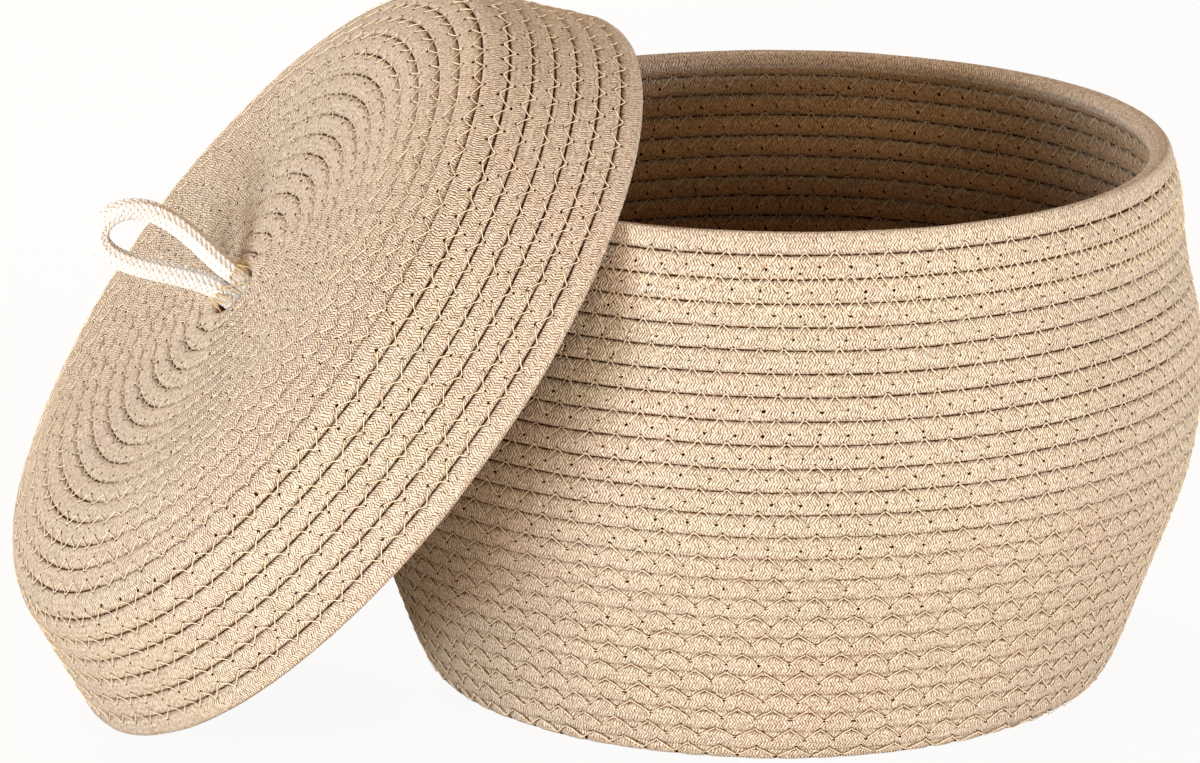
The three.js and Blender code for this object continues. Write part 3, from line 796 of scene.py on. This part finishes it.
def evenly(points, step):  # the same line, with its points a step apart
    points = np.asarray(points, float)
    lengths = np.concatenate([[0], np.cumsum(np.linalg.norm(np.diff(points, axis=0), axis=1))])
    wanted = np.linspace(0, lengths[-1], max(2, round(lengths[-1] / step)))
    return np.stack([np.interp(wanted, lengths, points[:, k]) for k in range(3)], 1), wanted


def cordPath(name, lines, place):  # lines of points in the lid's own frame
    points, facts, breaks = [], {"alongCord": [], "cordNormal": [], "cordSide": []}, set()
    turned = np.array(place.to_3x3())
    for line in lines:
        line, lengths = evenly(line, handle["step"])
        along = np.gradient(line, axis=0)
        along /= np.linalg.norm(along, axis=1)[:, None]
        normal = [np.cross(along[0], (1.0, 0.0, 0.0) if abs(along[0][0]) < 0.9 else (0.0, 1.0, 0.0))]
        for way in along[1:]:
            carried = normal[-1] / np.linalg.norm(normal[-1])
            normal.append(carried - way * carried.dot(way))
        normal = np.array([n / np.linalg.norm(n) for n in normal])
        side = np.cross(along, normal)
        points.extend(line @ turned.T + np.array(place.translation))
        facts["alongCord"].extend(lengths)
        facts["cordNormal"].extend(normal @ turned.T)
        facts["cordSide"].extend(side @ turned.T)
        breaks.add(len(points))
    return pathMesh(name, points, facts, breaks)


def loopLine(values):  # a teardrop from foot to foot that hangs over down the slope
    turn = np.linspace(0, 2 * math.pi, 241)
    reach = (1 - np.cos(turn)) / 2
    bulge = np.sin(turn) * np.sin(turn / 2) ** 2
    across = values["width"] / 2 * bulge / bulge.max()
    feet = values["spacing"] / 2 * np.cos(turn / 2)
    sag = values["sag"] * reach ** values["sagBend"]
    height = values["footHeight"] + values["reach"] * reach
    rise = np.linspace(values["footStart"], values["footHeight"], 9)[:-1]
    foot = values["spacing"] / 2
    loop = np.stack([turn * 0, across + feet - sag, height], 1)
    return np.concatenate([[(0, foot, z) for z in rise], loop, [(0, -foot, z) for z in rise[::-1]]])


def knotLines(values):  # the legs through the lid with their tails, and the wraps round them
    foot, low = values["spacing"] / 2, values["knotBottom"] - values["tail"]
    legs = [[(0, y, values["legTop"]), (0, y, values["knotBottom"]), (0, y * values["tailSpread"], low)]
            for y in (foot, -foot)]
    turn = np.linspace(0, values["wraps"] * 2 * math.pi, 121)
    share = turn / turn[-1]
    cord = (values["knotTop"] - values["knotBottom"]) / values["wraps"]
    height = values["knotTop"] - cord / 2 - share * (values["knotTop"] - values["knotBottom"] - cord)
    wraps = np.stack([values["wrapRadius"] * np.cos(turn), values["wrapRadius"] * np.sin(turn), height], 1)
    return legs + [wraps]


braidTree = buildBraidTree()
for name, lines, body, node in (("handleLoop", [loopLine(handle)], "handle", "handle_loop"),
                                ("handleKnot", knotLines(handle), "lid", "handle_knot")):
    piece = bakePiece(name, cordPath(name, lines, lidCoil["place"]), braidTree, cordBraid)
    placed.append((piece, body, [node], "cream_cotton_cord"))
    print(name, triangleCount(piece), "triangles")


# Tack threads that hold the loop's feet: short, uneven ones from each foot down to the lid

tack = {
    "Thread Width": 0.00050, "Thread Sides": 6, "Material": tackCotton,
    "perFoot": 20, "onFoot": 0.0098, "onLid": 0.0052, "sink": 0.0012, "fall": 1.6,
    "cordRadius": 0.0044, "reach": 0.0115, "swing": 0.0015, "spread": 120, "unevenness": 9,
    "reachSpread": (-0.0015, 0.002), "seed": 4,
}


def buildThreadTree():
    tree, source = newTree("plainThread", [
        ("Thread Width", "NodeSocketFloat", 0.0005), ("Thread Sides", "NodeSocketInt", 6),
        ("Material", "NodeSocketMaterial", None)])
    wanted = source.outputs
    curve = addNode(tree, "GeometryNodeMeshToCurve", {0: wanted["Geometry"]})
    radius = addMath(tree, "MULTIPLY", wanted["Thread Width"], 0.5)
    thread = addTube(tree, curve, wanted["Thread Sides"], radius)
    return finishTree(tree, source, thread)


def tackPath(name, values, place):
    chance = np.random.default_rng(values["seed"])
    points, breaks = [], set()
    turned, offset = np.array(place.to_3x3()), np.array(place.translation)
    for sign in (1, -1):
        foot = np.array([0, sign * handle["spacing"] / 2])
        for k in range(values["perFoot"]):
            uneven = chance.uniform(-values["unevenness"], values["unevenness"])
            lean = (k / (values["perFoot"] - 1) - 0.5) * 2 * values["spread"] + uneven
            way = math.radians(sign * 90 + lean)
            out = np.array([math.cos(way), math.sin(way)])
            swing = np.array([-out[1], out[0]]) * chance.uniform(-values["swing"], values["swing"])
            far = values["reach"] + chance.uniform(*values["reachSpread"])
            for share in np.linspace(0, 1, 9):
                flat = foot * (1 - share) + out * (values["cordRadius"] * (1 - share) + far * share)
                flat = flat + swing * math.sin(share * math.pi)
                high = values["onLid"] + (values["onFoot"] - values["onLid"]) * (1 - share) ** values["fall"]
                high -= values["sink"] * (share == 1)
                points.append(turned @ np.array([*flat, high]) + offset)
            breaks.add(len(points))
    return pathMesh(name, points, {}, breaks)


piece = bakePiece("handleTackThreads", tackPath("handleTackThreads", tack, lidCoil["place"]),
                  buildThreadTree(), tack)
placed.append((piece, "lid", [], None))
print("handleTackThreads", triangleCount(piece), "triangles")


# Camera, floor and light

camera = {
    "place": (0.0, -4.23434, 1.31168), "lens": 300, "sensor": 36,
    "heading": -1.0112, "dip": 15.6231, "roll": 0.4018,  # degrees: to the right, down, and rolled
}


def makeCamera(values):
    data = bpy.data.cameras.new("photoCamera")
    data.lens, data.sensor_width = values["lens"], values["sensor"]
    data.clip_start, data.clip_end = 0.1, 50
    item = bpy.data.objects.new("photoCamera", data)
    bpy.context.scene.collection.objects.link(item)
    stand = Matrix.Translation(values["place"])
    for axis, angle in (("Z", -values["heading"]), ("X", 90 - values["dip"]), ("Z", values["roll"])):
        stand = stand @ Matrix.Rotation(math.radians(angle), 4, axis)
    item.matrix_world = stand
    bpy.context.scene.camera = item


floor = {"size": 14.0, "color": "#efe4d2", "seenWhite": 0.93}


def makeFloor(values):
    half = values["size"] / 2
    mesh = bpy.data.meshes.new("floor")
    corners = [(-half, -half, 0), (half, -half, 0), (half, half, 0), (-half, half, 0)]
    mesh.from_pydata(corners, [], [(0, 1, 2, 3)])
    item = bpy.data.objects.new("floor", mesh)
    bpy.context.scene.collection.objects.link(item)
    material, tree, shader = newMaterial(  # matt white backdrop paper
        "paperFloor", {"Base Color": hexColor(values["color"]), "Roughness": 0.95, "Specular IOR Level": 0.1})
    seen = addNode(tree, "ShaderNodeLightPath")
    share = addMath(tree, "MULTIPLY", seen.outputs["Is Camera Ray"], values["seenWhite"])
    white = addNode(tree, "ShaderNodeEmission", {"Color": (1, 1, 1, 1), "Strength": 1.0})
    mixed = addNode(tree, "ShaderNodeMixShader", {0: share, 1: shader, 2: white})
    tree.links.new(mixed.outputs[0], tree.nodes["Material Output"].inputs["Surface"])
    mesh.materials.append(material)


lamps = {  # place, width, height, power in watts, colour
    "leftLow": ((-1.7, -2.5, 0.25), 0.9, 0.35, 50, "#ffffff"),
    "leftRaised": ((-1.9, -2.2, 0.75), 0.9, 0.40, 36, "#ffffff"),
    "frontLow": ((-0.7, -3.0, 0.25), 0.9, 0.35, 7, "#ffffff"),
    "frontRaised": ((-0.6, -2.9, 0.80), 0.9, 0.35, 15, "#ffdfb4"),
    "rightRaised": ((1.6, -2.4, 0.80), 0.9, 0.35, 13, "#ffdcae"),
    "rightLow": ((2.3, -1.8, 0.30), 1.0, 0.40, 44, "#ffffff"),
    "rightSide": ((2.6, 0.2, 0.50), 0.8, 0.60, 32, "#ffffff"),
    "backLeft": ((-1.2, 1.8, 1.60), 1.0, 1.0, 48, "#fff6ea"),
    "overhead": ((0.0, -0.3, 2.80), 0.8, 0.8, 17, "#ffbe74"),
}
lampAim = (0.02, 0.0, 0.12)
surround = {"strength": 0.01}


def makeLamps():
    for name, (place, width, height, power, color) in lamps.items():
        data = bpy.data.lights.new(name, "AREA")
        data.shape, data.size, data.size_y, data.energy = "RECTANGLE", width, height, power
        data.color = hexColor(color)[:3]
        item = bpy.data.objects.new(name, data)
        bpy.context.scene.collection.objects.link(item)
        item.location = place
        item.rotation_euler = (Vector(lampAim) - Vector(place)).to_track_quat("-Z", "Y").to_euler()


def makeSurround(values):
    world = bpy.data.worlds.new("studio")
    bpy.context.scene.world = world
    world.use_nodes = True
    tree = world.node_tree
    background = tree.nodes["Background"]
    background.inputs["Color"].default_value = (1, 1, 1, 1)
    seen = addNode(tree, "ShaderNodeLightPath")
    strength = addNode(tree, "ShaderNodeMapRange",
                       {"Value": seen.outputs["Is Camera Ray"], "To Min": values["strength"], "To Max": 1.0})
    tree.links.new(strength.outputs[0], background.inputs["Strength"])


makeCamera(camera)
makeFloor(floor)
makeLamps()
makeSurround(surround)
bpy.context.scene.view_settings.view_transform = "Standard"
print("camera, floor and light placed")


# Each piece but the two baked below moves with its body, and the CAD solids it stands for are hidden

# values that only the geometry trees read, taken off the finished pieces
pathFacts = ("centre", "rowNormal", "rowDirection", "rowBend", "ropeSize", "secondDip",
             "toAbove", "toBelow", "leanAbove", "leanBelow",
             "reachOld", "reachNew", "seamPhase", "alongCord", "cordNormal", "cordSide")
# these two have their placing baked into their mesh instead of joining a body; each pair is two heights over
# the lid's middle
bends = {"handleLoop": (0.0050, 0.0146), "handleTackThreads": (0.0056, 0.0100)}
for piece, body, nodes, slot in placed:
    for label in pathFacts:
        layer = piece.data.attributes.get(label)
        if layer:
            piece.data.attributes.remove(layer)
    if piece.name in bends:
        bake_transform(piece)
    else:
        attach(piece, body)
    if nodes:
        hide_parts(*nodes)

print("triangles in all:", sum(triangleCount(p[0]) for p in placed))
